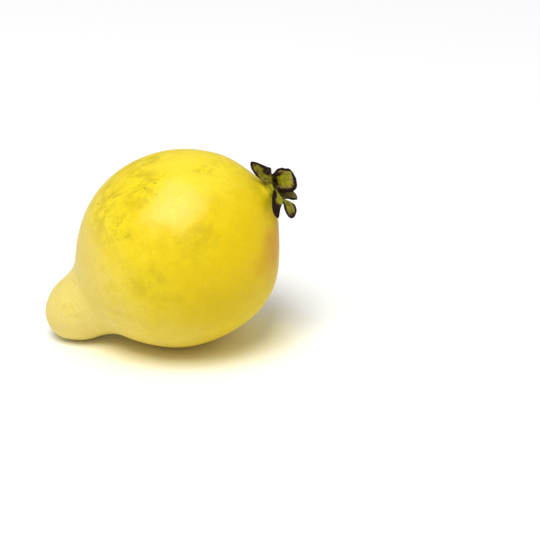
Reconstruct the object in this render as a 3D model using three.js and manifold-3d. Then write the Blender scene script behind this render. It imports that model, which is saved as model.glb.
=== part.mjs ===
// A ripe pear-shaped guava, lying on its side as it comes to rest, with its neck and its belly on the surface.
// Millimetres, +Z up. The neck points along -X, and the calyx along +X and upwards.
// The fruit is a turned body with a few swells and hollows. Its calyx is a short tube with five free lobes
// round a cup that still holds the dry style, and a corky scar closes the end where the stalk broke off.
import * as THREE from "three";
import { mergeVertices } from "three/addons/utils/BufferGeometryUtils.js";
import Module from "manifold-3d";

const wasm = await Module();
wasm.setup();

// Driving dimensions of the fruit. "Along" is the distance from the stalk end along the fruit's own axis.
const fruitLength = 87.4;
const bellyRadius = 32.1;
const bellyAlong = 51.5;
const neckRadius = 10.9;
const neckAlong = 9.6;
const flareRadius = 16.4; // where the neck opens into the belly
const flareAlong = 21.2;
const crownRadius = 9.6; // where the skin turns up to the calyx
const crownAlong = 84.4;
const collarRadius = 4.9; // of the low collar of skin that the calyx stands on
const lean = THREE.MathUtils.degToRad(33.1); // how far the axis climbs from the neck to the calyx
const flatDepth = 0.55; // what the fruit's own weight has pressed flat under the belly
const fruitSides = 72;

// Driving dimensions of the calyx and the scar.
const gap = 0.3; // between neighbouring solids
const tubeBaseRadius = 4.5;
const tubeRimRadius = 5.4;
const tubeHeight = 2.1;
const tubeWall = 1.4;
const rimEdge = 0.4; // the small slope outside the rim
const cupDepth = 1.4;
const cupFloorRadius = 1.6;
const lobeThickness = 0.9;
const lobeDish = 0.12; // how far a lobe's middle stands out, as a share of its half width
const styleRadius = 0.45;
const styleLength = 2.1;
const styleBend = 0.7; // sideways at its tip
const scarRadius = 1.9;
const scarDepth = 0.9; // of the dimple that the scar closes
const scarThickness = 0.7;

// Swells and hollows of the skin, each a soft round rise of that height about a point given along the axis,
// up across it and towards the front. A hollow has a negative height.
const swells = [
  { along: 67, up: 29, front: 4, reach: 15, height: -0.9 },
  { along: 81, up: 16, front: 0, reach: 9, height: 0.7 },
  { along: 67, up: -28, front: 7, reach: 15, height: 1.1 },
  { along: 80, up: -17, front: 0, reach: 10, height: -0.9 },
  { along: 39, up: 8, front: 30, reach: 14, height: -0.5 },
  { along: 59, up: -4, front: 31, reach: 15, height: 0.6 },
  { along: 47, up: 14, front: -29, reach: 16, height: 0.7 },
  { along: 69, up: -12, front: -26, reach: 13, height: -0.6 },
  { along: 18, up: 11, front: -3, reach: 6, height: -0.5 },
];

// The five lobes. Turn is the place round the rim, from straight up and over the front. Rise is the angle that
// a lobe leaves the rim at, from 0 along the axis to 90 square to it, less than 0 where it leans in over the
// cup, and curl is how much further it bends back by its tip. Swing bends it sideways, twist turns its face,
// and taper narrows it towards the tip.
const lobes = [
  { turn: 16, length: 9.9, width: 5.8, rise: 112, curl: -20, swing: 0, twist: -80, taper: 0.38 },
  { turn: 90, length: 8.8, width: 5.8, rise: 124, curl: 20, swing: 76, twist: -6, taper: 0.45 },
  { turn: 150, length: 6.2, width: 5.0, rise: 72, curl: 44, swing: -10, twist: 40, taper: 0.2 },
  { turn: 214, length: 6.2, width: 4.4, rise: 48, curl: 40, swing: 10, twist: 10, taper: 0.3 },
  { turn: 306, length: 8.4, width: 7.8, rise: -62, curl: 44, swing: -6, twist: -52, taper: 0.05 },
];
const lobeRoot = 0.85; // of a lobe's width where it leaves the rim
const lobeSteps = 12;
const lobeStrips = 6;

const material = (color, roughness) => new THREE.MeshStandardMaterial({ color, roughness, metalness: 0 });
const skin = material("#ebd335", 0.4);
const green = material("#8c9a2e", 0.6);
const dry = material("#4a3218", 0.8);
const cork = material("#8a6b42", 0.9);

const point = (radius, along) => new THREE.Vector2(radius, along);

// Geometry with only positions, its shared vertices merged.
function welded(geometry) {
  geometry.deleteAttribute("normal");
  geometry.deleteAttribute("uv");
  return mergeVertices(geometry, 1e-4);
}

// Turns a profile of (radius, along) points round the fruit's axis, laid along +X with the seam underneath.
function turned(profile, sides) {
  const geometry = welded(new THREE.LatheGeometry(profile, sides));
  return geometry.applyMatrix4(new THREE.Matrix4().set(0, 1, 0, 0, -1, 0, 0, 0, 0, 0, 1, 0, 0, 0, 0, 1));
}

// The fruit's outline from the dimple at the stalk end to the middle of the crown.
function fruitOutline() {
  const dimple = new THREE.LineCurve(point(0, scarDepth), point(scarRadius, scarDepth));
  const lip = new THREE.QuadraticBezierCurve(
    point(scarRadius, scarDepth),
    point(scarRadius + 0.3, 0.1),
    point(scarRadius + 1.1, 0.3),
  );
  const tip = new THREE.CubicBezierCurve(
    point(scarRadius + 1.1, 0.3),
    point(6.6, 0.9),
    point(9.6, 5.6),
    point(neckRadius, neckAlong),
  );
  const neck = new THREE.CubicBezierCurve(
    point(neckRadius, neckAlong),
    point(neckRadius + 0.7, 13.4),
    point(flareRadius - 3.8, 17.6),
    point(flareRadius, flareAlong),
  );
  const lower = new THREE.CubicBezierCurve(
    point(flareRadius, flareAlong),
    point(flareRadius + 9.4, flareAlong + 7.5),
    point(bellyRadius, bellyAlong - 14),
    point(bellyRadius, bellyAlong),
  );
  const upper = new THREE.CubicBezierCurve(
    point(bellyRadius, bellyAlong),
    point(bellyRadius, bellyAlong + 15.2),
    point(crownRadius + 12.8, crownAlong - 5),
    point(crownRadius, crownAlong),
  );
  const collar = new THREE.CubicBezierCurve(
    point(crownRadius, crownAlong),
    point(crownRadius - 2.2, crownAlong + 0.86),
    point(collarRadius + 0.35, fruitLength - 1.6),
    point(collarRadius, fruitLength - 0.1),
  );
  const top = new THREE.LineCurve(point(collarRadius, fruitLength - 0.1), point(0, fruitLength));
  const pieces = [
    [dimple, 1],
    [lip, 2],
    [tip, 7],
    [neck, 7],
    [lower, 12],
    [upper, 14],
    [collar, 6],
    [top, 1],
  ];
  const outline = [point(0, scarDepth)];
  for (const [curve, steps] of pieces) outline.push(...curve.getPoints(steps).slice(1));
  outline[outline.length - 1].x = 0;
  return outline;
}

// Pushes the skin out or in along its normals, as the swells say.
function swollen(geometry) {
  geometry.computeVertexNormals();
  const { position, normal } = geometry.attributes;
  const p = new THREE.Vector3();
  const n = new THREE.Vector3();
  const middle = new THREE.Vector3();
  for (let i = 0; i < position.count; i++) {
    p.fromBufferAttribute(position, i);
    n.fromBufferAttribute(normal, i);
    let push = 0;
    for (const { along, up, front, reach, height } of swells) {
      const distance = p.distanceTo(middle.set(along, -front, up));
      push += height * Math.exp(-((distance / reach) ** 2));
    }
    p.addScaledVector(n, push);
    position.setXYZ(i, p.x, p.y, p.z);
  }
  return geometry;
}

// A geometry as a manifold-3d solid, and back.
function solidOf(geometry) {
  const merged = welded(geometry);
  const triVerts = new Uint32Array(merged.index.array);
  const vertProperties = merged.attributes.position.array;
  return new wasm.Manifold(new wasm.Mesh({ numProp: 3, vertProperties, triVerts }));
}

function geometryOf(solid) {
  const mesh = solid.getMesh();
  const geometry = new THREE.BufferGeometry();
  geometry.setAttribute("position", new THREE.BufferAttribute(mesh.vertProperties, 3));
  return geometry.setIndex(new THREE.BufferAttribute(mesh.triVerts, 1));
}

// From the fruit's own axis to where it lies: leaning up to the calyx, its underside cut flat at z = 0.
function fruitAtRest() {
  const geometry = swollen(turned(fruitOutline(), fruitSides)).rotateY(-lean);
  geometry.computeBoundingBox();
  const lowest = geometry.boundingBox.min.z;
  const drop = -(lowest + flatDepth);
  geometry.translate(0, 0, drop);
  const size = 4 * fruitLength;
  const table = new THREE.BoxGeometry(size, size, size).translate(0, 0, -size / 2);
  return { geometry: geometryOf(solidOf(geometry).subtract(solidOf(table))), drop };
}

// The calyx tube: a shallow cup with a thick wall that widens to its rim.
function tubeGeometry() {
  const base = fruitLength + gap;
  const rim = base + tubeHeight;
  const floor = rim - cupDepth;
  const wall = new THREE.QuadraticBezierCurve(
    point(tubeBaseRadius, base),
    point(tubeBaseRadius, base + tubeHeight / 2),
    point(tubeRimRadius, rim - rimEdge),
  );
  const cup = new THREE.QuadraticBezierCurve(
    point(tubeRimRadius - tubeWall, rim),
    point(tubeRimRadius - tubeWall - 0.4, floor),
    point(cupFloorRadius, floor),
  );
  const profile = [
    point(0, base),
    ...wall.getPoints(4),
    point(tubeRimRadius - rimEdge, rim),
    ...cup.getPoints(4),
    point(0, floor),
  ];
  return turned(profile, 30);
}

// Half a lobe's width at a share t of its length, as a share of the full half width: narrow at the root,
// full by the middle and round at the tip.
function lobeOutline(t, taper) {
  const filled = lobeRoot + (1 - lobeRoot) * THREE.MathUtils.smoothstep(t, 0, 0.45);
  return filled * (1 - taper * t) * Math.sqrt(1 - 0.95 * t ** 4);
}

// A lobe of the calyx as a curved, dished leaf of even thickness that starts just above the rim.
function lobeGeometry({ turn, length, width, rise, curl, swing, twist, taper }) {
  const degrees = THREE.MathUtils.degToRad;
  const axis = new THREE.Vector3(1, 0, 0);
  const outward = new THREE.Vector3(0, -Math.sin(degrees(turn)), Math.cos(degrees(turn)));
  const sideways = new THREE.Vector3().crossVectors(axis, outward);
  const standOff = gap + (lobeThickness / 2) * Math.abs(Math.sin(degrees(rise)));
  const middle = axis
    .clone()
    .multiplyScalar(fruitLength + gap + tubeHeight + standOff)
    .addScaledVector(outward, tubeRimRadius - tubeWall / 2);
  const step = length / lobeSteps;
  const rows = [];
  for (let i = 0; i <= lobeSteps; i++) {
    const t = i / lobeSteps;
    const bend = degrees(rise + curl * t);
    const heading = axis.clone().multiplyScalar(Math.cos(bend)).addScaledVector(outward, Math.sin(bend));
    const across = sideways.clone();
    const face = new THREE.Vector3().crossVectors(heading, across);
    heading.applyAxisAngle(face, degrees(swing * t));
    across.applyAxisAngle(face, degrees(swing * t));
    const faceTurn = degrees(twist) * Math.min(1, 2 * t);
    across.applyAxisAngle(heading, faceTurn);
    face.applyAxisAngle(heading, faceTurn);
    const half = (width / 2) * lobeOutline(t, taper);
    const row = [];
    for (let j = 0; j <= lobeStrips; j++) {
      const v = (2 * j) / lobeStrips - 1;
      const onFace = middle
        .clone()
        .addScaledVector(across, half * v)
        .addScaledVector(face, lobeDish * half * (1 - v * v));
      row.push([-1, 1].map((side) => onFace.clone().addScaledVector(face, (side * lobeThickness) / 2)));
    }
    rows.push(row);
    middle.addScaledVector(heading, step);
  }
  return slab(rows);
}

// Closes a grid of [under, over] point pairs into one solid slab.
function slab(rows) {
  const vertices = [];
  const quad = (a, b, c, d) => vertices.push(a, b, c, a, c, d);
  const last = rows.length - 1;
  const edge = rows[0].length - 1;
  for (let i = 0; i < last; i++) {
    for (let j = 0; j < edge; j++) {
      quad(rows[i][j][1], rows[i + 1][j][1], rows[i + 1][j + 1][1], rows[i][j + 1][1]);
      quad(rows[i][j][0], rows[i][j + 1][0], rows[i + 1][j + 1][0], rows[i + 1][j][0]);
    }
    quad(rows[i][0][0], rows[i + 1][0][0], rows[i + 1][0][1], rows[i][0][1]);
    quad(rows[i][edge][0], rows[i][edge][1], rows[i + 1][edge][1], rows[i + 1][edge][0]);
  }
  for (let j = 0; j < edge; j++) {
    quad(rows[0][j][0], rows[0][j][1], rows[0][j + 1][1], rows[0][j + 1][0]);
    quad(rows[last][j][0], rows[last][j + 1][0], rows[last][j + 1][1], rows[last][j][1]);
  }
  return welded(new THREE.BufferGeometry().setFromPoints(vertices));
}

// The dry style that stands in the middle of the cup, a little bent.
function styleGeometry() {
  const foot = fruitLength + gap + tubeHeight - cupDepth + gap;
  const route = new THREE.QuadraticBezierCurve3(
    new THREE.Vector3(foot, 0, 0),
    new THREE.Vector3(foot + styleLength * 0.6, 0, 0),
    new THREE.Vector3(foot + styleLength, 0, styleBend),
  );
  const section = new THREE.Shape().absarc(0, 0, styleRadius, 0, 2 * Math.PI);
  return welded(
    new THREE.ExtrudeGeometry(section, { steps: 8, curveSegments: 5, extrudePath: route, bevelEnabled: false }),
  );
}

// The corky plug in the dimple where the stalk broke off.
function scarGeometry() {
  const back = scarDepth - gap;
  const front = back - scarThickness;
  const edge = scarRadius - gap;
  const profile = [
    point(0, front + 0.15),
    point(edge * 0.45, front + 0.1),
    point(edge * 0.8, front),
    point(edge, front + 0.25),
    point(edge, back),
    point(0, back),
  ];
  return turned(profile, 20);
}

function named(name, geometry, look) {
  const mesh = new THREE.Mesh(geometry, look);
  mesh.name = name;
  return mesh;
}

const { geometry: fruit, drop } = fruitAtRest();
const guava = new THREE.Group();
guava.add(named("fruit", fruit, skin));

// Everything on the fruit's own axis leans with it.
const onAxis = new THREE.Group();
onAxis.rotation.y = -lean;
onAxis.position.z = drop;
onAxis.add(named("calyx_tube", tubeGeometry(), green));
lobes.forEach((lobe, i) => onAxis.add(named(`calyx_lobe_${i + 1}`, lobeGeometry(lobe), green)));
onAxis.add(named("style", styleGeometry(), dry));
onAxis.add(named("stalk_scar", scarGeometry(), cork));
guava.add(onAxis);

// The origin is on the surface, under the middle of the whole guava.
const centre = new THREE.Box3().setFromObject(guava, true).getCenter(new THREE.Vector3());
guava.position.set(-centre.x, -centre.y, 0);

export default guava;
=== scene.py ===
import math

import bmesh
import bpy
from mathutils import Matrix, Vector, noise


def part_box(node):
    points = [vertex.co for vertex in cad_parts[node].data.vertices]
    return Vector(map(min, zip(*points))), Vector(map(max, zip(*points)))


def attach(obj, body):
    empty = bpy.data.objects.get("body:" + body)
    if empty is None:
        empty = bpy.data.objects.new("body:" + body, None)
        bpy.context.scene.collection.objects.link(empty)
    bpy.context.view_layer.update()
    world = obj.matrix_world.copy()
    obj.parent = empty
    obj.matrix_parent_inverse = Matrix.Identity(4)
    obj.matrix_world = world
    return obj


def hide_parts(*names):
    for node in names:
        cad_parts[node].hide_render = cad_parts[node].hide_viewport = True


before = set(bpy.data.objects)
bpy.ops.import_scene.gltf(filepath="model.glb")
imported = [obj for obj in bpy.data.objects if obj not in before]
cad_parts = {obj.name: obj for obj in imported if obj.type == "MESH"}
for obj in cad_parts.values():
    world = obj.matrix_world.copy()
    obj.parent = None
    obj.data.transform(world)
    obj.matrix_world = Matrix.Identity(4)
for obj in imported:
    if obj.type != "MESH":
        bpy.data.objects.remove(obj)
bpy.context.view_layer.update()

mm = 0.001  # the sizes below are in millimetres, and the scene is in metres

# How the guava lies. Its own axis runs along +X from the stalk end, and leans up to the calyx. Every piece is
# made on that axis, and makeFruit adds the axis's place in the frame, from the fruit's own box.
lying = {"lean": math.radians(33.1)}


def linear(hexColor):
    shares = [int(hexColor[i : i + 2], 16) / 255 for i in (1, 3, 5)]
    return [c / 12.92 if c <= 0.04045 else ((c + 0.055) / 1.055) ** 2.4 for c in shares] + [1]


def addNode(tree, kind, inputs=None, stops=(), **settings):
    # An input may be a value, a hex colour, a socket, or a node whose first output is meant.
    # Stops are a colour ramp's places and colours.
    node = tree.nodes.new(kind)
    for name, value in settings.items():
        setattr(node, name, value)
    for key, value in (inputs or {}).items():
        if isinstance(value, bpy.types.Node):
            value = value.outputs[0]
        if isinstance(value, bpy.types.NodeSocket):
            tree.links.new(value, node.inputs[key])
        else:
            node.inputs[key].default_value = linear(value) if isinstance(value, str) else value
    for _ in stops[2:]:
        node.color_ramp.elements.new(0.5)
    for i, (place, color) in enumerate(stops):
        node.color_ramp.elements[i].position = place
        node.color_ramp.elements[i].color = linear(color)
    return node


def smooth(low, high, value):
    share = min(1, max(0, (value - low) / (high - low or 1e-9)))
    return share * share * (3 - 2 * share)


def outwardAt(angle):
    # Straight out from the axis: 0 is up across it, and a quarter turn is the front.
    return Vector((0, -math.sin(angle), math.cos(angle)))


def onAxisFrame(tree):
    # Millimetres on the fruit's own axis: X runs along it, Y away from the front, and Z up across it.
    place = {
        "Vector": addNode(tree, "ShaderNodeTexCoord").outputs["Object"],
        "Location": lying["place"],
        "Rotation": (0, -lying["lean"], 0),
        "Scale": (mm, mm, mm),
    }
    return addNode(tree, "ShaderNodeMapping", place, vector_type="TEXTURE")


def nearness(tree, place, spot):
    # 1 at the middle of a spot on the skin, easing to 0 at its reach, times its strength.
    along, up, front, reach, strength = spot
    apart = addNode(tree, "ShaderNodeVectorMath", {0: place, 1: (along, -front, up)}, operation="DISTANCE")
    ends = {
        "Value": apart.outputs["Value"],
        "From Min": reach * 1.25,
        "From Max": reach * 0.3,
        "To Max": strength,
    }
    return addNode(tree, "ShaderNodeMapRange", ends, interpolation_type="SMOOTHSTEP")


def shownBy(tree, pattern, low, high, most, within):
    # How much of a layer shows: none at the pattern's low, the most at its high, times the share that the
    # place within allows.
    ends = {"Value": pattern, "From Min": low, "From Max": high, "To Max": most}
    share = addNode(tree, "ShaderNodeMapRange", ends)
    return addNode(tree, "ShaderNodeMath", {0: share, 1: within}, operation="MULTIPLY")


def newMaterial(name):
    material = bpy.data.materials.new(name)
    material.use_nodes = True
    tree = material.node_tree
    return material, tree, tree.nodes["Principled BSDF"]


def keep(piece, slotName, *nodes):
    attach(piece, "root")
    if nodes:
        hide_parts(*nodes)


def faceOutwards(mesh):
    facing = bmesh.new()
    facing.from_mesh(mesh)
    bmesh.ops.recalc_face_normals(facing, faces=facing.faces)
    facing.to_mesh(mesh)
    facing.free()


def newPiece(name, points, faces, material, values=None, uv=None):
    # Points are in millimetres on the fruit's own axis, and values are numbers that the material reads.
    mesh = bpy.data.meshes.new(name)
    mesh.from_pydata([lying["matrix"] @ Vector(p) for p in points], [], faces)
    for key, numbers in (values or {}).items():
        mesh.attributes.new(key, "FLOAT", "POINT").data.foreach_set("value", numbers)
    if uv:
        layer = mesh.uv_layers.new(name="leaf")
        for loop in mesh.loops:
            layer.data[loop.index].uv = uv[loop.vertex_index]
    faceOutwards(mesh)
    mesh.polygons.foreach_set("use_smooth", [True] * len(mesh.polygons))
    mesh.materials.append(material)
    piece = bpy.data.objects.new(name, mesh)
    bpy.context.scene.collection.objects.link(piece)
    return piece


def newTree(name, sizes):
    kinds = {tuple: "NodeSocketVector", float: "NodeSocketFloat", int: "NodeSocketInt"}
    tree = bpy.data.node_groups.new(name, "GeometryNodeTree")
    tree.interface.new_socket("Geometry", in_out="OUTPUT", socket_type="NodeSocketGeometry")
    for key, value in sizes.items():
        tree.interface.new_socket(key, in_out="INPUT", socket_type=kinds[type(value)])
    return tree, addNode(tree, "NodeGroupInput").outputs


def runTree(name, tree, sizes):
    # An empty mesh with the tree on it, its inputs set before anything evaluates it, and then what it makes.
    piece = bpy.data.objects.new(name, bpy.data.meshes.new(name))
    modifier = piece.modifiers.new(name, "NODES")
    modifier.node_group = tree
    for socket in tree.interface.items_tree:
        if socket.in_out == "INPUT" and socket.name in sizes:
            modifier[socket.identifier] = sizes[socket.name]
    bpy.context.scene.collection.objects.link(piece)
    depsgraph = bpy.context.evaluated_depsgraph_get()
    made = bpy.data.meshes.new_from_object(piece.evaluated_get(depsgraph))
    piece.modifiers.clear()
    piece.data = made
    made.polygons.foreach_set("use_smooth", [True] * len(made.polygons))
    return piece


def turnedFaces(rows, sides):
    faces = []
    for i in range(rows - 1):
        for j in range(sides):
            k = (j + 1) % sides
            faces.append((i * sides + j, i * sides + k, (i + 1) * sides + k, (i + 1) * sides + j))
    return faces


# The skin's colours. A spot is its place along the axis, up across it and towards the front, its reach and
# its strength. A layer is the pattern that it follows, the two values between which that fades it in, the most
# of it that shows, and its colour.
skin = {
    "patterns": {  # size in millimetres, detail and roughness
        "cloud": (16, 3.0, 0.55),
        "blotch": (5.5, 4.0, 0.6),
        "mottle": (2.2, 3.0, 0.6),
        "grain": (0.8, 3.0, 0.6),
        "stir": (7, 2.0, 0.5),
        "jitter": (1.2, 2.0, 0.5),
        "peel": (2.6, 2.0, 0.5),
    },
    "wander": 20.0,  # how far the clouds shift the colours along the fruit
    "alongEnds": (10.0, 97.0),
    "along": [
        # the first two stops, cream on the neck: partly the skin's own tone, partly a painted reflection of
        # the white surroundings
        (0.0, "#e0cc76"),
        (0.24, "#e0cc6c"),
        (0.42, "#dec640"),
        (0.55, "#dfc61c"),
        (0.78, "#e4c814"),
        (1.0, "#dcbf10"),
    ],
    "neckEnds": (12.0, 50.0),
    "neckShare": 0.35,  # how much of the clouds is left on the neck
    "clouds": [
        ("blotch", 0.5, 0.68, 0.4, "#d2b20a"),
        ("blotch", 0.46, 0.3, 0.3, "#e8d840"),
        ("mottle", 0.52, 0.72, 0.22, "#c8b410"),
    ],
    "zoneWander": 11.0,
    "zones": [  # broad and soft, and each has its colour
        # the next two: pale on the neck's upper edge and along the lower front, partly the skin's own tone and
        # partly a painted reflection of the white surroundings
        (30, 20, 10, 13, 0.5, "#d9c160"),
        (42, -18, 24, 13, 0.6, "#d9c356"),
        (73, 23, 5, 19, 0.65, "#ecd838"),
        # painted highlight: a pale patch on the upper front, where the soft shine falls
        (64, 19, 21, 11, 0.45, "#eddc74"),
        (62, -10, 29, 24, 0.8, "#d2b402"),
        (76, -7, 21, 17, 0.65, "#e1c004"),
        # painted shade: deep orange low on the calyx end stands in for shade and orange light bounced onto
        # that edge
        (83, -14, 11, 12, 0.7, "#cc8c04"),
        (46, 5, 31, 7, 0.5, "#c6ae12"),
        (66, 7, 28, 8, 0.4, "#cab016"),
        (60, -12, -28, 20, 0.5, "#d6b40c"),
        (45, 12, -29, 12, 0.5, "#cdbb28"),
        (70, 10, -24, 9, 0.5, "#c4b51c"),
        (55, -32, 0, 20, 0.5, "#ddcb5e"),
        (89, 0, 0, 8.5, 0.8, "#bcab14"),
    ],
    "leastScuffed": 0.05,
    "scuffs": [  # where the skin has been rubbed
        (43, 29, 10, 10, 1.0),
        (57, 29, 12, 9, 1.0),
        (45, 24, 20, 7, 0.9),
        (60, 31, -4, 9, 0.7),
        (75, 21, 8, 4.5, 1.0),
        (82, 16, 2, 5, 0.8),
        (67, 7, 28, 8, 0.5),
        (46, 5, 31, 6, 0.5),
        (27, 1, 23, 4, 0.7),
        (14, 4, 11, 3, 0.3),
        (49, -2, 32, 6, 0.45),
        (50, 6, -31, 12, 0.8),
        (68, -14, -24, 9, 0.9),
        (30, -6, -20, 8, 0.6),
    ],
    "scuffed": [
        ("blotch", 0.56, 0.44, 0.5, "#e8d408"),
        ("blotch", 0.46, 0.6, 0.62, "#c0ac0c"),
        ("mottle", 0.46, 0.64, 0.4, "#bba50e"),
        ("streaks", 0.6, 0.72, 0.5, "#9d8c18"),
    ],
    "streaks": {"squeeze": (0.2, 0.8, 0.8), "Scale": 0.9, "Detail": 2.0, "Distortion": 0.6},
    "specks": {
        "apart": 2.6,
        "shake": 2.4,  # how far their outlines wander
        "size": 0.5,
        "leftOut": 0.17,  # taken off each, so that the smallest don't show
        "edge": (-0.05, 0.12),
        "shown": 0.6,
        "depth": 0.6,
        "color": "#857626",
    },
    "pores": {
        "apart": 0.9,
        "edge": (0.24, 0.06),
        "shown": 0.35,
        "depth": 1.6,
        "color": "#b0951c",
    },
    "grainTone": (0.96, 1.04),
    "roughness": (0.4, 0.5),  # waxy to dull
    "sunkLight": 2.2,
    "peelBump": (0.3, 0.4),  # strength, and height in millimetres
    "poreBump": (0.25, 0.12),
}


# Ripe guava skin, grown thin and waxy over soft flesh: a soft broad shine, light that sinks in a little,
# and cloudy gold and green mottling with small dry specks. Its colour also holds a painted highlight on the
# upper front, painted reflection of the white surroundings on the neck and lower front, and painted shade
# low on the calyx end.
def skinMaterial():
    material, tree, shader = newMaterial("waxyGuavaSkin")
    place = onAxisFrame(tree)
    along = addNode(tree, "ShaderNodeSeparateXYZ", {0: place})
    patterns = {}
    for name, (size, detail, roughness) in skin["patterns"].items():
        sizes = {"Vector": place, "Scale": 1 / size, "Detail": detail, "Roughness": roughness}
        patterns[name] = addNode(tree, "ShaderNodeTexNoise", sizes)

    # Paler and creamier on the neck, deep gold towards the calyx. The neck's cream is partly the skin's own
    # tone and partly a painted reflection of the white surroundings.
    spread = {0: patterns["cloud"], 1: skin["wander"], 2: along}
    wander = addNode(tree, "ShaderNodeMath", spread, operation="MULTIPLY_ADD")
    stalkEnd, calyxEnd = skin["alongEnds"]
    ends = {"Value": wander, "From Min": stalkEnd, "From Max": calyxEnd}
    share = addNode(tree, "ShaderNodeMapRange", ends)
    color = addNode(tree, "ShaderNodeValToRGB", {"Fac": share}, stops=skin["along"]).outputs["Color"]

    # Clouds of deeper gold, and smaller ones of a greener or a creamier yellow, fainter on the neck.
    neckFrom, neckTo = skin["neckEnds"]
    ends = {"Value": along, "From Min": neckFrom, "From Max": neckTo, "To Min": skin["neckShare"]}
    onBody = addNode(tree, "ShaderNodeMapRange", ends)
    layers = [(shownBy(tree, patterns[name], *fade, onBody), tone) for name, *fade, tone in skin["clouds"]]

    # The zones and scuffs wander a few millimetres, so that none has a round edge.
    wander = skin["zoneWander"]
    centred = {0: patterns["cloud"].outputs["Color"], 1: (0.5, 0.5, 0.5)}
    centred = addNode(tree, "ShaderNodeVectorMath", centred, operation="SUBTRACT")
    drift = {0: patterns["stir"].outputs["Color"], 1: centred}
    drift = addNode(tree, "ShaderNodeVectorMath", drift, operation="ADD")
    drift = {0: drift, 1: (wander, wander, wander), 2: place}
    drift = addNode(tree, "ShaderNodeVectorMath", drift, operation="MULTIPLY_ADD")
    drift = {0: drift, 1: (wander / 2, wander / 2, wander / 2)}
    drift = addNode(tree, "ShaderNodeVectorMath", drift, operation="SUBTRACT")
    layers += [(nearness(tree, drift, spot), tone) for *spot, tone in skin["zones"]]

    # The scuffed places: brighter and olive patches, and thin streaks along the fruit.
    scuffed = skin["leastScuffed"]
    for spot in skin["scuffs"]:
        scuffed = {0: nearness(tree, drift, spot), 1: scuffed}
        scuffed = addNode(tree, "ShaderNodeMath", scuffed, operation="MAXIMUM")
    sizes = dict(skin["streaks"])
    squeezed = {0: place, 1: sizes.pop("squeeze")}
    sizes["Vector"] = addNode(tree, "ShaderNodeVectorMath", squeezed, operation="MULTIPLY")
    patterns["streaks"] = addNode(tree, "ShaderNodeTexNoise", sizes)
    for name, *fade, tone in skin["scuffed"]:
        layers.append((shownBy(tree, patterns[name], *fade, scuffed), tone))

    # Brown-green specks of uneven shape, most of them where the skin is scuffed.
    specks, pores = skin["specks"], skin["pores"]
    shake = specks["shake"]
    shaken = {0: patterns["jitter"].outputs["Color"], 1: (shake, shake, shake), 2: place}
    shaken = addNode(tree, "ShaderNodeVectorMath", shaken, operation="MULTIPLY_ADD")
    cells = addNode(tree, "ShaderNodeTexVoronoi", {"Vector": shaken, "Scale": 1 / specks["apart"]})
    chance = addNode(tree, "ShaderNodeSeparateColor", {0: cells.outputs["Color"]})
    chance = addNode(tree, "ShaderNodeMath", {0: chance, 1: scuffed}, operation="MULTIPLY")
    reach = {0: chance, 1: specks["size"], 2: -specks["leftOut"]}
    reach = addNode(tree, "ShaderNodeMath", reach, operation="MULTIPLY_ADD")
    inside = addNode(tree, "ShaderNodeMath", {0: reach, 1: cells.outputs["Distance"]}, operation="SUBTRACT")
    speck = shownBy(tree, inside, *specks["edge"], specks["shown"], 1.0)

    # Pores: dark pinpricks under half a millimetre, a little coarser than the real ones to show at all.
    cells = addNode(tree, "ShaderNodeTexVoronoi", {"Vector": place, "Scale": 1 / pores["apart"]})
    some = addNode(tree, "ShaderNodeSeparateColor", {0: cells.outputs["Color"]})
    some = {"Value": some.outputs["Green"], "From Min": 0.5, "From Max": 1.0, "To Max": pores["shown"]}
    some = addNode(tree, "ShaderNodeMapRange", some)
    pore = shownBy(tree, cells.outputs["Distance"], *pores["edge"], 1.0, some)
    layers += [(speck, specks["color"]), (pore, pores["color"])]

    for share, tone in layers:
        color = addNode(tree, "ShaderNodeMix", {0: share, 6: color, 7: tone}, data_type="RGBA").outputs[2]
    darker, lighter = skin["grainTone"]
    ends = {"Value": patterns["grain"], "From Min": 0.3, "From Max": 0.7, "To Min": darker, "To Max": lighter}
    grain = addNode(tree, "ShaderNodeMapRange", ends)
    shaded = addNode(tree, "ShaderNodeVectorMath", {0: color, "Scale": grain}, operation="SCALE")
    tree.links.new(shaded.outputs[0], shader.inputs["Base Color"])

    waxy, dull = skin["roughness"]
    ends = {"Value": patterns["blotch"], "From Min": 0.3, "From Max": 0.7, "To Min": waxy, "To Max": dull}
    tree.links.new(addNode(tree, "ShaderNodeMapRange", ends).outputs[0], shader.inputs["Roughness"])
    shader.inputs["IOR"].default_value = 1.4
    shader.inputs["Specular IOR Level"].default_value = 0.24
    shader.inputs["Subsurface Weight"].default_value = 0.12
    shader.inputs["Subsurface Radius"].default_value = (1.0, 0.62, 0.12)
    shader.inputs["Subsurface Scale"].default_value = skin["sunkLight"] * mm

    relief = patterns["grain"]
    for mark, kind in ((pore, pores), (speck, specks)):
        relief = {0: mark, 1: -kind["depth"], 2: relief}
        relief = addNode(tree, "ShaderNodeMath", relief, operation="MULTIPLY_ADD")
    strength, height = skin["peelBump"]
    soft = {"Height": patterns["peel"], "Strength": strength, "Distance": height * mm}
    strength, height = skin["poreBump"]
    fine = {"Height": relief, "Strength": strength, "Distance": height * mm}
    fine["Normal"] = addNode(tree, "ShaderNodeBump", soft)
    tree.links.new(addNode(tree, "ShaderNodeBump", fine).outputs[0], shader.inputs["Normal"])
    return material


tissue = {
    "patchSize": 1.3,  # in millimetres, as is the next
    "crispSize": 0.35,
    "drying": [
        (0.0, "#a9a41a"),
        (0.2, "#8a8614"),
        (0.4, "#5f5a10"),
        (0.56, "#4a300c"),
        (0.72, "#2a1004"),
        (1.0, "#1b0602"),
    ],
    "patchy": 0.16,  # how far patches shift the drying either way
    "uneven": (0.82, 1.15),
    "crinkle": "#a08a50",
    "roughness": (0.46, 0.7),  # fresh to dead
    "sunkLight": 0.8,
    "veins": {"Scale": 3.2, "Distortion": 2.2, "Detail": 2.0},
    "veinShare": 0.35,  # of the height of the patches
}


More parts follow.
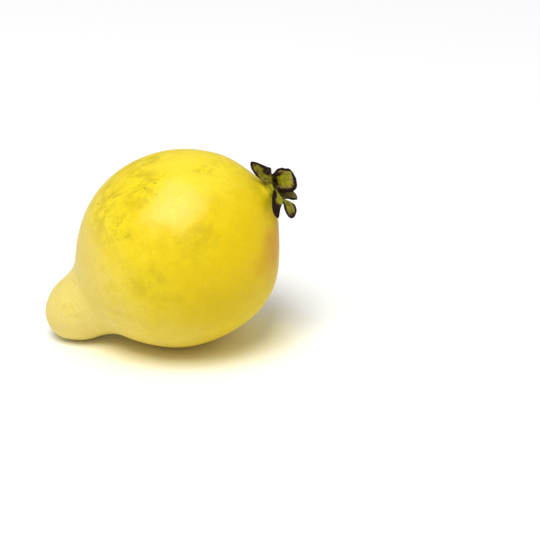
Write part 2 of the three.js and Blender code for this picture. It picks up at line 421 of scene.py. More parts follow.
# Fleshy calyx tissue, drying from its margins in: matt olive green with fine veins, and edges that have gone
# papery, purple-brown and nearly black.
def calyxMaterial():
    material, tree, shader = newMaterial("dryingCalyxLeaf")
    place = onAxisFrame(tree)
    dry = addNode(tree, "ShaderNodeAttribute", attribute_name="dry").outputs["Fac"]
    pale = addNode(tree, "ShaderNodeAttribute", attribute_name="pale").outputs["Fac"]
    along = addNode(tree, "ShaderNodeUVMap", uv_map="leaf")
    sizes = {"Vector": place, "Scale": 1 / tissue["patchSize"], "Detail": 4.0, "Roughness": 0.65}
    patch = addNode(tree, "ShaderNodeTexNoise", sizes)
    sizes = {"Vector": place, "Scale": 1 / tissue["crispSize"], "Detail": 3.0}
    crisp = addNode(tree, "ShaderNodeTexNoise", sizes)

    patchy = tissue["patchy"]
    ends = {"Value": patch, "From Min": 0.3, "From Max": 0.7, "To Min": -patchy, "To Max": patchy}
    shift = addNode(tree, "ShaderNodeMapRange", ends)
    dead = addNode(tree, "ShaderNodeMath", {0: dry, 1: shift}, operation="ADD", use_clamp=True)
    aged = addNode(tree, "ShaderNodeValToRGB", {"Fac": dead}, stops=tissue["drying"])
    darker, lighter = tissue["uneven"]
    ends = {"Value": crisp, "From Min": 0.35, "From Max": 0.65, "To Min": darker, "To Max": lighter}
    uneven = addNode(tree, "ShaderNodeMapRange", ends)
    toned = addNode(tree, "ShaderNodeVectorMath", {0: aged, "Scale": uneven}, operation="SCALE")
    whitened = {0: shownBy(tree, crisp, 0.47, 0.6, 1.0, pale), 6: toned, 7: tissue["crinkle"]}
    whitened = addNode(tree, "ShaderNodeMix", whitened, data_type="RGBA")
    tree.links.new(whitened.outputs[2], shader.inputs["Base Color"])

    fresh, dried = tissue["roughness"]
    rough = addNode(tree, "ShaderNodeMapRange", {"Value": dead, "To Min": fresh, "To Max": dried})
    tree.links.new(rough.outputs[0], shader.inputs["Roughness"])
    shader.inputs["Specular IOR Level"].default_value = 0.16
    shader.inputs["Subsurface Weight"].default_value = 0.08
    shader.inputs["Subsurface Radius"].default_value = (0.6, 0.9, 0.2)
    shader.inputs["Subsurface Scale"].default_value = tissue["sunkLight"] * mm

    veins = addNode(tree, "ShaderNodeTexWave", {"Vector": along, **tissue["veins"]})
    ridges = {0: veins.outputs["Fac"], 1: tissue["veinShare"], 2: patch}
    ridges = addNode(tree, "ShaderNodeMath", ridges, operation="MULTIPLY_ADD")
    bump = addNode(tree, "ShaderNodeBump", {"Height": ridges, "Strength": 0.55, "Distance": 0.25 * mm})
    fine = {"Height": crisp, "Strength": 0.4, "Distance": 0.08 * mm, "Normal": bump}
    tree.links.new(addNode(tree, "ShaderNodeBump", fine).outputs[0], shader.inputs["Normal"])
    return material


dryLooks = {  # grain in millimetres, its detail and roughness, its colours, and what it does to the surface
    "driedFlowerThread": {
        "grain": (0.3, 3.0, 0.5),
        "stops": [(0.3, "#2c180d"), (0.55, "#5a3a1d"), (0.75, "#7d5a30")],
        "roughness": 0.78,
        "bump": (0.5, 0.05),
    },
    "brokenStalkCork": {
        "grain": (0.45, 5.0, 0.7),
        "stops": [(0.28, "#3c2816"), (0.5, "#7b5b36"), (0.72, "#b39a6c")],
        "roughness": 0.88,
        "bump": (0.7, 0.12),
    },
}


# Dead flower parts, dried on the fruit, give brittle dull brown threads. Cork, grown where the stalk broke
# off, gives a dry grey-brown crust. Both scatter light from a coarse broken grain and have no shine.
def dryMaterial(name):
    material, tree, shader = newMaterial(name)
    look = dryLooks[name]
    size, detail, roughness = look["grain"]
    sizes = {"Vector": onAxisFrame(tree), "Scale": 1 / size, "Detail": detail, "Roughness": roughness}
    grain = addNode(tree, "ShaderNodeTexNoise", sizes)
    tone = addNode(tree, "ShaderNodeValToRGB", {"Fac": grain}, stops=look["stops"])
    tree.links.new(tone.outputs["Color"], shader.inputs["Base Color"])
    shader.inputs["Roughness"].default_value = look["roughness"]
    strength, height = look["bump"]
    bump = addNode(tree, "ShaderNodeBump", {"Height": grain, "Strength": strength, "Distance": height * mm})
    tree.links.new(bump.outputs[0], shader.inputs["Normal"])
    return material


body = {
    "inputs": {  # each point of the outline is (distance from the axis, distance along it)
        "Pit": (0.0, 0.9, 0.0),
        "Dimple": (1.9, 0.9, 0.0),
        "Lip": (3.0, 0.3, 0.0),
        "Neck": (10.9, 9.6, 0.0),
        "Flare": (16.4, 21.2, 0.0),
        "Belly": (32.1, 51.5, 0.0),
        "Crown": (9.6, 84.4, 0.0),
        "Collar": (4.75, 87.5, 0.0),
        "Apex": (0.0, 87.4, 0.0),
        "Lump height": 0.34,
        "Lump reach": 15.0,
        "Ripple height": 0.09,
        "Ripple reach": 4.2,
        "Rib height": 0.26,
        "Rows": 262,
        "Sides": 330,
    },
    "outline": [  # from, to, and how far the curve's handles stand off those two points
        ("Pit", "Dimple", (0.6, 0, 0), (-0.6, 0, 0)),
        ("Dimple", "Lip", (0.2, -0.53, 0), (-0.53, -0.13, 0)),
        ("Lip", "Neck", (3.6, 0.6, 0), (-1.3, -4.0, 0)),
        ("Neck", "Flare", (0.9, 3.8, 0), (-3.9, -3.3, 0)),
        ("Flare", "Belly", (9.4, 7.9, 0), (0, -14, 0)),
        ("Belly", "Crown", (0, 15.2, 0), (12.8, -5.0, 0)),
        ("Crown", "Collar", (-2.2, 0.86, 0), (0.5, -1.6, 0)),
        ("Collar", "Apex", (-0.2, 0.1, 0), (1.6, 0, 0)),
    ],
    "swells": [  # soft rises and hollows: placed as the skin's spots are, with a height at the end
        (67, 29, 4, 15, -0.9),
        (81, 16, 0, 9, 0.7),
        (67, -28, 7, 15, 1.1),
        (80, -17, 0, 10, -0.9),
        (39, 8, 30, 14, -0.5),
        (59, -4, 31, 15, 0.6),
        (47, 14, -29, 16, 0.7),
        (69, -12, -26, 13, -0.6),
        (18, 11, -3, 6, -0.5),
    ],
    "ribs": 5.0,  # low ones that run up to the calyx
    "ribsAlong": (66.0, 84.0),  # where they rise, along the axis
    "ribsAcross": (19.0, 8.5),  # and from out to in, away from it
    "crowding": 1.25,  # above 1, the rows are closer together at the stalk end
    "weld": 0.002,
    "flatEase": 0.35,  # how softly the flat spot runs into the belly
}


def bodySheet(tree, sizes):
    # A sheet of rows along the outline and sides round the axis, wrapped into the turned body.
    curves = addNode(tree, "GeometryNodeJoinGeometry")
    for start, end, leave, arrive in reversed(body["outline"]):
        ends = {"Start": sizes[start], "End": sizes[end], "Start Handle": leave, "End Handle": arrive}
        ends["Resolution"] = 64
        arc = addNode(tree, "GeometryNodeCurvePrimitiveBezierSegment", ends, mode="OFFSET")
        tree.links.new(arc.outputs[0], curves.inputs[0])
    grid = {"Size X": 1.0, "Size Y": 1.0, "Vertices X": sizes["Rows"], "Vertices Y": sizes["Sides"]}
    sheet = addNode(tree, "GeometryNodeMeshGrid", grid)
    spot = addNode(tree, "ShaderNodeSeparateXYZ", {0: addNode(tree, "GeometryNodeInputPosition")})
    row = addNode(tree, "ShaderNodeMath", {0: spot.outputs["X"], 1: 0.5}, operation="ADD", use_clamp=True)
    reach = addNode(tree, "ShaderNodeMath", {0: row, 1: body["crowding"]}, operation="POWER")
    turn = addNode(tree, "ShaderNodeMath", {0: spot.outputs["Y"], 1: 2 * math.pi}, operation="MULTIPLY")
    onCurve = {"Curves": curves, "Factor": reach}
    onCurve = addNode(tree, "GeometryNodeSampleCurve", onCurve, mode="FACTOR", use_all_curves=True)
    profile = addNode(tree, "ShaderNodeSeparateXYZ", {0: onCurve.outputs["Position"]})
    sine = addNode(tree, "ShaderNodeMath", {0: turn}, operation="SINE")
    cosine = addNode(tree, "ShaderNodeMath", {0: turn}, operation="COSINE")
    away = addNode(tree, "ShaderNodeMath", {0: sine, 1: profile.outputs["X"]}, operation="MULTIPLY")
    up = addNode(tree, "ShaderNodeMath", {0: cosine, 1: profile.outputs["X"]}, operation="MULTIPLY")
    place = addNode(tree, "ShaderNodeCombineXYZ", {"X": profile.outputs["Y"], "Y": away, "Z": up})
    wrapped = addNode(tree, "GeometryNodeSetPosition", {"Geometry": sheet, "Position": place})
    return addNode(tree, "GeometryNodeMergeByDistance", {"Geometry": wrapped, "Distance": body["weld"]})


def bodyPush(tree, sizes):
    # How far the skin stands out or in at each point: the swells, broad lumps, small ripples and the ribs.
    position = addNode(tree, "GeometryNodeInputPosition")
    push = 0.0
    for along, up, front, reach, height in body["swells"]:
        middle = (along, -front, up)
        apart = addNode(tree, "ShaderNodeVectorMath", {0: position, 1: middle}, operation="DISTANCE")
        share = {0: apart.outputs["Value"], 1: reach}
        share = addNode(tree, "ShaderNodeMath", share, operation="DIVIDE")
        square = addNode(tree, "ShaderNodeMath", {0: share, 1: share}, operation="MULTIPLY")
        minus = addNode(tree, "ShaderNodeMath", {0: square, 1: -1.0}, operation="MULTIPLY")
        bell = addNode(tree, "ShaderNodeMath", {0: minus}, operation="EXPONENT")
        push = {0: bell, 1: height, 2: push}
        push = addNode(tree, "ShaderNodeMath", push, operation="MULTIPLY_ADD")
    for kind in ("Lump", "Ripple"):
        often = addNode(tree, "ShaderNodeMath", {0: 1.0, 1: sizes[kind + " reach"]}, operation="DIVIDE")
        cloud = addNode(tree, "ShaderNodeTexNoise", {"Vector": position, "Scale": often, "Detail": 1.5})
        centred = addNode(tree, "ShaderNodeMath", {0: cloud, 1: 0.5}, operation="SUBTRACT")
        push = {0: centred, 1: sizes[kind + " height"], 2: push}
        push = addNode(tree, "ShaderNodeMath", push, operation="MULTIPLY_ADD")

    # The ribs rise where the body narrows to its upper end, and fade outwards.
    parts = addNode(tree, "ShaderNodeSeparateXYZ", {0: position})
    angle = {0: parts.outputs["Y"], 1: parts.outputs["Z"]}
    angle = addNode(tree, "ShaderNodeMath", angle, operation="ARCTAN2")
    often = addNode(tree, "ShaderNodeMath", {0: angle, 1: body["ribs"]}, operation="MULTIPLY")
    wave = addNode(tree, "ShaderNodeMath", {0: often}, operation="COSINE")
    across = addNode(tree, "ShaderNodeVectorMath", {0: position, 1: (0.0, 1.0, 1.0)}, operation="MULTIPLY")
    radius = addNode(tree, "ShaderNodeVectorMath", {0: across}, operation="LENGTH").outputs["Value"]
    ribbed = wave
    for value, (low, high) in ((radius, body["ribsAcross"]), (parts.outputs["X"], body["ribsAlong"])):
        rise = addNode(tree, "ShaderNodeMapRange", {"Value": value, "From Min": low, "From Max": high})
        ribbed = addNode(tree, "ShaderNodeMath", {0: ribbed, 1: rise}, operation="MULTIPLY")
    push = {0: ribbed, 1: sizes["Rib height"], 2: push}
    return addNode(tree, "ShaderNodeMath", push, operation="MULTIPLY_ADD")


def bodyTree(skinMade):
    tree, sizes = newTree("guavaBody", body["inputs"])
    closed = bodySheet(tree, sizes)
    normal = addNode(tree, "GeometryNodeInputNormal")
    offset = {0: normal, "Scale": bodyPush(tree, sizes)}
    offset = addNode(tree, "ShaderNodeVectorMath", offset, operation="SCALE")
    swollen = addNode(tree, "GeometryNodeSetPosition", {"Geometry": closed, "Offset": offset})
    leant = {"Geometry": swollen, "Rotation": (0, -lying["lean"], 0), "Scale": (mm, mm, mm)}
    leant = addNode(tree, "GeometryNodeTransform", leant)
    real = addNode(tree, "GeometryNodeRealizeInstances", {"Geometry": leant})
    painted = addNode(tree, "GeometryNodeSetMaterial", {"Geometry": real, "Material": skinMade})
    addNode(tree, "NodeGroupOutput", {0: painted})
    return tree


def makeFruit(skinMade):
    print("fruit: turned body with swells and ribs")
    fruit = runTree("guavaFruit", bodyTree(skinMade), body["inputs"])
    low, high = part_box("fruit")
    corners = [Vector(c) for c in fruit.bound_box]
    mine = [(min(c[i] for c in corners), max(c[i] for c in corners)) for i in range(3)]
    x = (low[0] + high[0] - mine[0][0] - mine[0][1]) / 2
    y = (low[1] + high[1] - mine[1][0] - mine[1][1]) / 2
    lying["place"] = (x, y, high[2] - mine[2][1])
    leant = Matrix.Rotation(-lying["lean"], 4, "Y") @ Matrix.Scale(mm, 4)
    lying["matrix"] = Matrix.Translation(lying["place"]) @ leant

    # The weight of the fruit has pressed its underside flat on the table.
    ease = body["flatEase"] * mm
    for vertex in fruit.data.vertices:
        vertex.co += Vector(lying["place"])
        z = vertex.co.z
        if z < ease:
            vertex.co.z = 0 if z < -ease else (z + ease) ** 2 / (4 * ease)
    faceOutwards(fruit.data)
    return fruit


# The calyx tube: a thick-walled shallow cup that widens to its rim, greenest at its foot, and darker the
# deeper inside the cup.
tube = {
    "gap": 0.3,  # what the frame leaves between neighbouring pieces, closed here
    "sunk": 1.0,  # how deep the foot stands in the collar
    "height": 2.1,
    "baseRadius": 4.5,
    "rimRadius": 5.4,
    "wall": 1.4,
    "cupDepth": 1.7,
    "ribs": 10,
    "ribHeight": 0.1,
    "roughHeight": 0.22,
    "sides": 150,
}
tubeBase = body["inputs"]["Apex"][1] + tube["gap"]
rim = tubeBase + tube["height"]


def bezier(points, steps):
    # Points on a quadratic curve, its first left out.
    a, b, c = (Vector(p) for p in points)
    shares = [(i + 1) / steps for i in range(steps)]
    return [a * (1 - t) ** 2 + b * 2 * t * (1 - t) + c * t * t for t in shares]


def makeTube(material):
    print("calyx: tube")
    outer, foot = tube["rimRadius"], tube["baseRadius"]
    lip = outer - tube["wall"]
    floor = rim - tube["cupDepth"]
    outerSteps = 16
    profile = [Vector((foot, tubeBase - tube["sunk"]))]
    curves = [
        ((foot - 0.1, tubeBase + 1.2), (outer - 0.05, rim - 0.5), outerSteps),
        ((outer + 0.1, rim + 0.1), (outer - 0.6, rim + 0.1), 6),
        ((lip, rim + 0.1), (lip - 0.15, rim - 0.5), 6),
        ((lip - 0.5, floor), (0.35, floor), 16),
    ]
    for handle, end, steps in curves:
        profile += bezier((profile[-1], handle, end), steps)
    points, dry, uv = [], [], []
    for i, (radius, along) in enumerate(profile):
        outside = i <= outerSteps
        high = smooth(tubeBase, rim, along)
        for j in range(tube["sides"]):
            angle = 2 * math.pi * j / tube["sides"]
            outward = outwardAt(angle)
            rough = noise.noise(Vector((along * 0.5, 2.2 * outward.y, 2.2 * outward.z)))
            crisp = noise.noise(Vector((along * 1.1, 7 * outward.y, 7 * outward.z)))
            rib = tube["ribHeight"] * math.cos(tube["ribs"] * angle + 0.6) * (1 if outside else 0.5)
            bulge = rib + tube["roughHeight"] * rough + 0.07 * crisp
            rise = high * (0.25 * rough + 0.12 * crisp)
            stood = max(0.2, radius + bulge * min(1, radius / 3))
            points.append(Vector((along + rise, 0, 0)) + outward * stood)
            if outside:
                dry.append(0.05 + 0.12 * high * high + 0.12 * rough)
            else:
                # Inside the cup the tissue is darker the deeper it goes.
                dry.append(0.16 + 0.4 * smooth(0.2, 1.4, rim - along) + 0.2 * crisp)
            uv.append((j / tube["sides"] * 8, i / len(profile)))
    faces = turnedFaces(len(profile), tube["sides"])
    faces.append(tuple(range(len(points) - tube["sides"], len(points))))
    faces.append(tuple(range(tube["sides"])))
    return newPiece("calyxTube", points, faces, material, {"dry": dry, "pale": [0] * len(points)}, uv)


# The five lobes. Turn is the place round the rim, from straight up and over the front. Rise is the angle
# from the axis that a lobe leaves the rim at, and curl how much further it bends back by its tip. Swing bends
# it sideways, twist turns its face, root is its share of the full width there, and square how blunt its tip
# is. Band is the width of the dark dead edge, which lean makes wider on one side, and bare the share of the
# length by the root where each edge is still green. Age is how dead the rest is, and pale how much of it
# shows as crinkles. Stains are dead patches, as (share of the length, place across from -1 to 1, reach,
# strength).
lobes = {
    "thickness": 0.8,
    "edge": 0.35,  # of that thickness, at the margin
    "sunk": 0.8,  # how far a root reaches down into the rim
    "bendBy": 0.16,  # the share of the length in which a lobe turns from the rim to its rise
    "dish": 0.06,
    "cup": 0.2,  # how far the margins curl in, as a share of half the width
    "ragged": 0.07,
    "crumple": 0.42,
    "rows": 46,
    "strips": 30,
    "each": [
        {
            "turn": 14, "length": 9.8, "width": 5.8, "rise": 113, "curl": -20, "swing": 0, "twist": -90,
            "taper": 0.33, "root": 1.12, "square": 4, "seed": 3,
            "band": 0.9, "lean": -0.15, "bare": (0.12, 0.5), "age": 0.31, "pale": 0.35,
            "stains": [(0.38, -0.75, 0.3, 0.9), (0.95, 0.0, 0.25, 0.5)],
        },
        {
            "turn": 89.6, "length": 8.8, "width": 6.0, "rise": 124, "curl": 20, "swing": 79, "twist": -5.5,
            "taper": 0.47, "root": 0.85, "square": 3, "seed": 11,
            "band": 1.4, "lean": -0.6, "bare": (0.28, 0.5), "age": 0.18, "pale": 0,
            "stains": [(0.76, -0.6, 0.46, 1.0), (1.0, 0.0, 0.4, 1.0)],
        },
        {
            "turn": 150, "length": 6.3, "width": 5.2, "rise": 72, "curl": 46, "swing": -10, "twist": 42,
            "taper": 0.2, "root": 0.85, "square": 5, "seed": 19,
            "band": 0.8, "lean": 0, "bare": (0.3, 0.3), "age": 0.3, "pale": 0.3,
            "stains": [(0.9, 0.3, 0.3, 0.8)],
        },
        {
            "turn": 214, "length": 6.4, "width": 4.6, "rise": 48, "curl": 40, "swing": 10, "twist": 10,
            "taper": 0.3, "root": 0.85, "square": 4, "seed": 27,
            "band": 0.7, "lean": 0.2, "bare": (0.3, 0.3), "age": 0.42, "pale": 0.5,
            "stains": [(1.0, 0.0, 0.3, 0.8)],
        },
        {
            "turn": 310, "length": 8.9, "width": 8.3, "rise": -66, "curl": 52, "swing": -1, "twist": -58,
            "taper": 0.05, "root": 1.25, "square": 14, "seed": 35,
            "band": 1.15, "lean": -0.35, "bare": (0.2, 0.1), "age": 0.12, "pale": 1.0,
            "stains": [(0.34, 0.85, 0.32, 0.95), (0.15, 0.0, 0.34, 0.5), (0.95, -0.9, 0.3, 0.9)],
        },
    ],
}


def lobeFrame(lobe, outward, t):
    # Which way the lobe runs, its width lies and its face looks, at a share t of its length.
    axis = Vector((1, 0, 0))
    bend = math.radians(lobe["rise"] * smooth(0.04, lobes["bendBy"] + 0.04, t) + lobe["curl"] * t)
    heading = axis * math.cos(bend) + outward * math.sin(bend)
    across = axis.cross(outward)
    face = heading.cross(across)
    swing = Matrix.Rotation(math.radians(lobe["swing"]) * t, 3, face)
    heading, across = swing @ heading, swing @ across
    twist = Matrix.Rotation(math.radians(lobe["twist"]) * min(1, 2 * t), 3, heading)
    return heading, twist @ across, twist @ face


def lobeHalfWidth(lobe, t):
    filled = lobe["root"] + (1 - lobe["root"]) * smooth(0, 0.45, t)
    blunt = math.sqrt(max(0.0004, 1 - t ** lobe["square"]))
    return lobe["width"] / 2 * filled * (1 - lobe["taper"] * t) * blunt


def lobeDryness(lobe, t, v, half, whole):
    # How dead the tissue is, how much of it shows as pale crinkles, and the chance ripple in both.
    seed = lobe["seed"]
    toEdge = min(half * (1 - abs(v)), whole * (1 - t))
    ripple = 0.55 * noise.noise(Vector((t * 4.5, v * 3, seed + 3)))
    ripple += 0.25 * noise.noise(Vector((t * 14, v * 8, seed)))
    green = lobe["bare"][0 if v < 0 else 1]
    band = lobe["band"] * (1 + lobe["lean"] * v) * (1 + 0.9 * ripple) * smooth(green - 0.12, green + 0.06, t)
    dead = 1 - smooth(band * 0.6, band * 1.3 + 0.05, toEdge + 0.4 * ripple * band)
    for spotT, spotV, reach, strength in lobe["stains"]:
        apart = math.hypot(t - spotT, (v - spotV) * half / whole) + 0.12 * ripple
        dead = max(dead, strength * (1 - smooth(reach * 0.3, reach, apart)))
    crinkled = smooth(band * 0.7, band * 1.2, toEdge) * (1 - smooth(band * 1.2, band * 2.4, toEdge))
    return dead, lobe["pale"] * crinkled, ripple


def shellFaces(rows, strips, count):
    # A closed shell round two sheets of points: the two faces, the two margins, and the root and the tip.
    wide = strips + 1
    faces = []
    for i in range(rows):
        for j in range(strips):
            a, b, c, d = i * wide + j, i * wide + j + 1, (i + 1) * wide + j + 1, (i + 1) * wide + j
            faces.append((a, b, c, d))
            faces.append((count + a, count + d, count + c, count + b))
        for j in (0, strips):
            a, d = i * wide + j, (i + 1) * wide + j
            faces.append((a, d, count + d, count + a))
    for j in range(strips):
        for a in (j, rows * wide + j):
            faces.append((a, a + 1, count + a + 1, count + a))
    return faces


def makeLobe(lobe, name, material):
    turn = math.radians(lobe["turn"])
    outward = outwardAt(turn)
    ring = tube["rimRadius"] - tube["wall"] / 2
    middle = Vector((rim - lobes["sunk"], 0, 0)) + outward * ring
    rows, strips, seed = lobes["rows"], lobes["strips"], lobe["seed"]
    whole = lobe["length"] + lobes["sunk"]
    points, dry, pale, uv = [[], []], [[], []], [[], []], []
    for i in range(rows + 1):
        t = i / rows
        heading, across, face = lobeFrame(lobe, outward, t)
        half = lobeHalfWidth(lobe, t)
        atRoot = 1 - smooth(0.05, 0.4, t)
        for j in range(strips + 1):
            # Near its root a lobe follows the rim's round, further out it is its own crumpled dish.
            v = 2 * j / strips - 1
            side = 1 if v > 0 else -1
            chance = noise.noise(Vector((t * 5, side * 3, seed)))
            w = half * v * (1 + lobes["ragged"] * smooth(0.1, 0.3, t) * chance)
            turned = outwardAt(turn + w / ring)
            onArc = turned * ring - outward * ring - across * w
            margin = abs(v) ** 2.6
            wave = noise.noise(Vector((t * 3.6, v * 1.5, seed))) * (0.25 + 0.75 * margin)
            crisp = noise.noise(Vector((t * 10, v * 4, seed + 7))) * (0.12 + 0.3 * margin)
            lift = lobes["dish"] * half * (1 - v * v) + lobes["cup"] * half * margin * smooth(0.1, 0.4, t)
            lift += lobes["crumple"] * (wave + 0.5 * crisp) * smooth(0.08, 0.35, t)
            facing = (face * (1 - atRoot) - turned * atRoot).normalized()
            onFace = middle + across * w + onArc * atRoot + facing * lift
            thin = lobes["edge"] + (1 - lobes["edge"]) * (1 - v**4) * (1 - t**6)
            thick = lobes["thickness"] * thin * (1.25 - 0.35 * t)
            dead, crinkled, ripple = lobeDryness(lobe, t, v, half, whole)
            for k, where in enumerate((-0.5, 0.5)):
                points[k].append(onFace + facing * where * thick)
                aged = lobe["age"] + (0.12 if k == 0 else 0)
                dry[k].append(max(aged + 0.2 * ripple, 0.95 * dead) * (0.4 + 0.6 * smooth(0, 0.2, t)))
                pale[k].append(crinkled)
            uv.append((v * half / 3, t * 1.2))
        middle += heading * whole / rows
    values = {"dry": dry[0] + dry[1], "pale": pale[0] + pale[1]}
    faces = shellFaces(rows, strips, len(points[0]))
    return newPiece(name, points[0] + points[1], faces, material, values, uv + uv)


style = {"radius": 0.45, "length": 2.1, "bend": 0.7, "tip": 0.62, "rows": 26, "sides": 20}


def makeStyle(material):
    print("calyx: style")
    foot = rim - tube["cupDepth"] - 0.3
    points = []
    for i in range(style["rows"] + 1):
        t = i / style["rows"]
        stalk = style["radius"] * (1.25 - 0.6 * smooth(0, 0.4, t))
        radius = stalk + (style["tip"] - 0.3) * smooth(0.7, 0.9, t)
        radius *= math.sqrt(max(0.01, 1 - t**12))
        middle = Vector((foot + (style["length"] + 0.6) * t, 0, style["bend"] * t * t))
        for j in range(style["sides"]):
            angle = 2 * math.pi * j / style["sides"]
            rough = noise.noise(Vector((5 * t, math.cos(angle), math.sin(angle))))
            shrunk = 1 + 0.16 * math.cos(3 * angle + 2 * t) + 0.12 * rough
            points.append(middle + outwardAt(angle) * radius * shrunk)
    faces = turnedFaces(style["rows"] + 1, style["sides"])
    faces.append(tuple(range(style["sides"])))
    faces.append(tuple(range(style["rows"] * style["sides"], len(points))))
    return newPiece("flowerStyle", points, faces, material)


scar = {
    "radius": 1.75,
    "depth": 0.9,
    "rings": 0.1,
    "pit": 0.28,
    "shoulder": 0.25,
    "rough": 0.22,
    "crack": 0.3,
    "rows": 22,
    "sides": 72,
    "seed": 5,
}


def makeScar(material):
    print("stalk end: corky scar")
    rows, sides, seed = scar["rows"], scar["sides"], scar["seed"]
    points = []
    for i in range(rows + 1):
        t = i / rows
        radius = scar["radius"] * (1 - t) + 0.12 * t
        for j in range(sides):
            outward = outwardAt(2 * math.pi * j / sides)
            rough = noise.noise(Vector((seed, 1.6 * radius * outward.y, 1.6 * radius * outward.z)))
            cracks = abs(noise.noise(Vector((seed + 4, 2.4 * outward.y, 2.4 * outward.z))))
            crack = scar["crack"] * (1 - smooth(0, 0.12, cracks)) * smooth(0.3, 0.8, radius)
            ringed = scar["rings"] * math.cos(9 * radius) - scar["pit"] * smooth(0.55, 0.2, radius)
            ringed += scar["shoulder"] * smooth(0.9, 1.3, radius)
            edge = smooth(scar["radius"] - 0.2, scar["radius"], radius)
            along = scar["depth"] - 0.55 - ringed - scar["rough"] * rough + crack + edge * 0.9
            points.append(Vector((along, 0, 0)) + outward * radius)
    back = len(points)
    for j in range(sides):
        outward = outwardAt(2 * math.pi * j / sides)
        points.append(Vector((scar["depth"] + 0.6, 0, 0)) + outward * scar["radius"])
    faces = turnedFaces(rows + 1, sides)
    faces.append(tuple(range(rows * sides, back)))
    faces.append(tuple(range(back, back + sides)))
    for j in range(sides):
        k = (j + 1) % sides
        faces.append((j, k, back + k, back + j))
    return newPiece("stalkScar", points, faces, material)


stamens = {
    "inputs": {"Count": 58, "Length": 2.0, "Radius": 0.075, "Spread": 0.55, "Seed": 8},
    "tipRadius": 0.045,
    "offWall": 0.25,
    "strewn": 0.25,  # how far a foot stands off the ring, either way
    "belowRim": 0.9,
    "tips": (-0.9, 0.35),  # how each leans, from out to in, times the spread
    "tall": (0.45, 1.15),
}


# A ring of broken-off stamens: thin cones on points round the inside of the cup, each tipped by chance.
def stamenTree(material):
    tree, sizes = newTree("stamenRing", stamens["inputs"])
    ringAt = tube["rimRadius"] - tube["wall"] - stamens["offWall"]
    circle = addNode(tree, "GeometryNodeMeshCircle", {"Vertices": sizes["Count"], "Radius": ringAt})
    strewn = stamens["strewn"]
    ends = {0: (-strewn, -strewn, 0.0), 1: (strewn, strewn, 0.3), "Seed": sizes["Seed"]}
    shift = addNode(tree, "FunctionNodeRandomValue", ends, data_type="FLOAT_VECTOR")
    feet = addNode(tree, "GeometryNodeSetPosition", {"Geometry": circle, "Offset": shift.outputs[0]})
    cone = {"Vertices": 6, "Side Segments": 4, "Radius Top": stamens["tipRadius"]}
    cone.update({"Radius Bottom": sizes["Radius"], "Depth": sizes["Length"]})
    thread = addNode(tree, "GeometryNodeMeshCone", cone)

    # Each leans over the cup or its wall by a chance amount, and turns with its place on the ring.
    position = addNode(tree, "ShaderNodeSeparateXYZ", {0: addNode(tree, "GeometryNodeInputPosition")})
    angle = {0: position.outputs["Y"], 1: position.outputs["X"]}
    angle = addNode(tree, "ShaderNodeMath", angle, operation="ARCTAN2")
    chances = []
    for least, most in (stamens["tips"], stamens["tall"]):
        ends = {2: least, 3: most, "Seed": sizes["Seed"]}
        chances.append(addNode(tree, "FunctionNodeRandomValue", ends, data_type="FLOAT").outputs[1])
    tipped = addNode(tree, "ShaderNodeMath", {0: chances[0], 1: sizes["Spread"]}, operation="MULTIPLY")
    tilt = addNode(tree, "ShaderNodeCombineXYZ", {"Y": tipped, "Z": angle})
    size = addNode(tree, "ShaderNodeCombineXYZ", {"X": 1.0, "Y": 1.0, "Z": chances[1]})
    placed = {"Points": feet, "Instance": thread, "Rotation": tilt, "Scale": size}
    ring = addNode(tree, "GeometryNodeInstanceOnPoints", placed)
    real = addNode(tree, "GeometryNodeRealizeInstances", {"Geometry": ring})
    painted = addNode(tree, "GeometryNodeSetMaterial", {"Geometry": real, "Material": material})
    addNode(tree, "NodeGroupOutput", {0: painted})
    return tree


def makeStamens(material):
    print("calyx: stamen stubs")
    piece = runTree("stamenStubs", stamenTree(material), stamens["inputs"])
    # The tree builds the ring round +Z, so it is turned onto the fruit's axis and set down in the cup.
    seat = Matrix.Translation((rim - stamens["belowRim"], 0, 0)) @ Matrix.Rotation(math.pi / 2, 4, "Y")
    piece.data.transform(lying["matrix"] @ seat)
    return piece


studio = {
    "keyPower": 27,
    "keySize": 900,
    "keyAway": 1750,
    "keyFrom": (-0.15, -0.45, 1.0),
    "worldStrength": 0.5,
    "floorSize": 6000,
    "board": [(0.0, "#fafafa"), (1.0, "#fcfcfc")],
    "glow": [(0.0, "#fff3ba"), (0.3, "#fff9d6"), (0.6, "#fffef4"), (0.85, "#ffffff")],
    "glowAt": 4,  # along X, in millimetres
    "glowEnds": (18, 55),
    "glowSquash": 1.5,  # across
}


def lightStudio(belly):
    print("studio: light")
    world = bpy.data.worlds.new("whiteTent")
    world.use_nodes = True
    background = world.node_tree.nodes["Background"]
    background.inputs["Color"].default_value = linear("#ffffff")
    background.inputs["Strength"].default_value = studio["worldStrength"]
    bpy.context.scene.world = world
    bpy.context.scene.view_settings.view_transform = "Standard"
    key = bpy.data.lights.new("softKey", "AREA")
    key.energy = studio["keyPower"]
    key.size = studio["keySize"] * mm
    lamp = bpy.data.objects.new("softKey", key)
    away = Vector(studio["keyFrom"]).normalized()
    lamp.location = belly + away * studio["keyAway"] * mm
    lamp.rotation_euler = away.to_track_quat("Z", "Y").to_euler()
    bpy.context.scene.collection.objects.link(lamp)


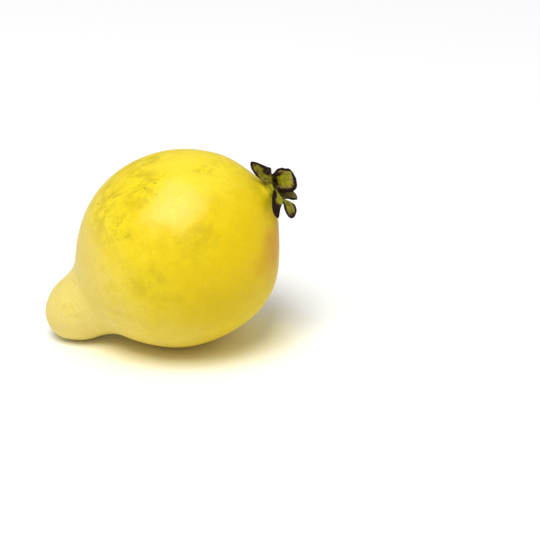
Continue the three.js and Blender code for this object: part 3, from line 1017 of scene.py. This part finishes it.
# White board. Close to the fruit it is warmed, as by the light that the yellow skin throws down on it.
def tabletopMaterial():
    material, tree, shader = newMaterial("whiteTabletop")
    coords = addNode(tree, "ShaderNodeTexCoord").outputs["Object"]
    haze = addNode(tree, "ShaderNodeTexNoise", {"Vector": coords, "Scale": 9.0})
    tone = addNode(tree, "ShaderNodeValToRGB", {"Fac": haze}, stops=studio["board"])
    squashed = {0: coords, 1: (1.0, studio["glowSquash"], 1.0)}
    squashed = addNode(tree, "ShaderNodeVectorMath", squashed, operation="MULTIPLY")
    apart = {0: squashed, 1: (studio["glowAt"] * mm, 0, 0)}
    apart = addNode(tree, "ShaderNodeVectorMath", apart, operation="DISTANCE")
    near, far = studio["glowEnds"]
    ends = {"Value": apart.outputs["Value"], "From Min": near * mm, "From Max": far * mm}
    share = addNode(tree, "ShaderNodeMapRange", ends)
    glow = addNode(tree, "ShaderNodeValToRGB", {"Fac": share}, stops=studio["glow"])
    warmed = {0: 1.0, 6: tone, 7: glow}
    warmed = addNode(tree, "ShaderNodeMix", warmed, data_type="RGBA", blend_type="MULTIPLY")
    tree.links.new(warmed.outputs[2], shader.inputs["Base Color"])
    shader.inputs["Roughness"].default_value = 0.6
    return material


def makeFloor():
    print("studio: floor")
    half = studio["floorSize"] * mm / 2
    mesh = bpy.data.meshes.new("tabletop")
    corners = [(-half, -half, 0), (half, -half, 0), (half, half, 0), (-half, half, 0)]
    mesh.from_pydata(corners, [], [(0, 1, 2, 3)])
    mesh.materials.append(tabletopMaterial())
    floor = bpy.data.objects.new("tabletop", mesh)
    bpy.context.scene.collection.objects.link(floor)


camera = {
    "elevation": math.radians(25),
    "lens": 135,
    "distance": 664.2,
    "aimRight": 29.0,  # the guava lies left of the middle of the view
    "aimBelow": 7.2,
}


def makeCamera(belly):
    print("studio: camera")
    lens = bpy.data.cameras.new("studioCamera")
    lens.lens = camera["lens"]
    lens.clip_start, lens.clip_end = 0.05, 20
    view = bpy.data.objects.new("studioCamera", lens)
    back = Vector((0, -math.cos(camera["elevation"]), math.sin(camera["elevation"])))
    right = Vector((1, 0, 0))
    aim = belly + (right * camera["aimRight"] - back.cross(right) * camera["aimBelow"]) * mm
    view.location = aim + back * camera["distance"] * mm
    view.rotation_euler = back.to_track_quat("Z", "Y").to_euler()
    bpy.context.scene.collection.objects.link(view)
    bpy.context.scene.camera = view


# The fruit comes first, because it gives the place that the others share. Its material reads that place too,
# so it is made afterwards and takes over from a stand-in.
fruit = makeFruit(bpy.data.materials.new("bareSkin"))
print("materials")
fruit.data.materials.clear()
fruit.data.materials.append(skinMaterial())
calyx = calyxMaterial()
thread = dryMaterial("driedFlowerThread")
cork = dryMaterial("brokenStalkCork")
keep(fruit, "skin", "fruit")
keep(makeTube(calyx), "calyx", "calyx_tube")
print("calyx: lobes")
for number, lobe in enumerate(lobes["each"], 1):
    keep(makeLobe(lobe, f"calyxLobe{number}", calyx), "calyx", f"calyx_lobe_{number}")
keep(makeStyle(thread), "dry_style", "style")
keep(makeStamens(thread), "dry_style")
keep(makeScar(cork), "cork", "stalk_scar")

low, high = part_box("fruit")
bellyRadius = body["inputs"]["Belly"][0] * mm
belly = Vector((high[0] - bellyRadius, 0, high[2] - bellyRadius))
makeFloor()
lightStudio(belly)
makeCamera(belly)
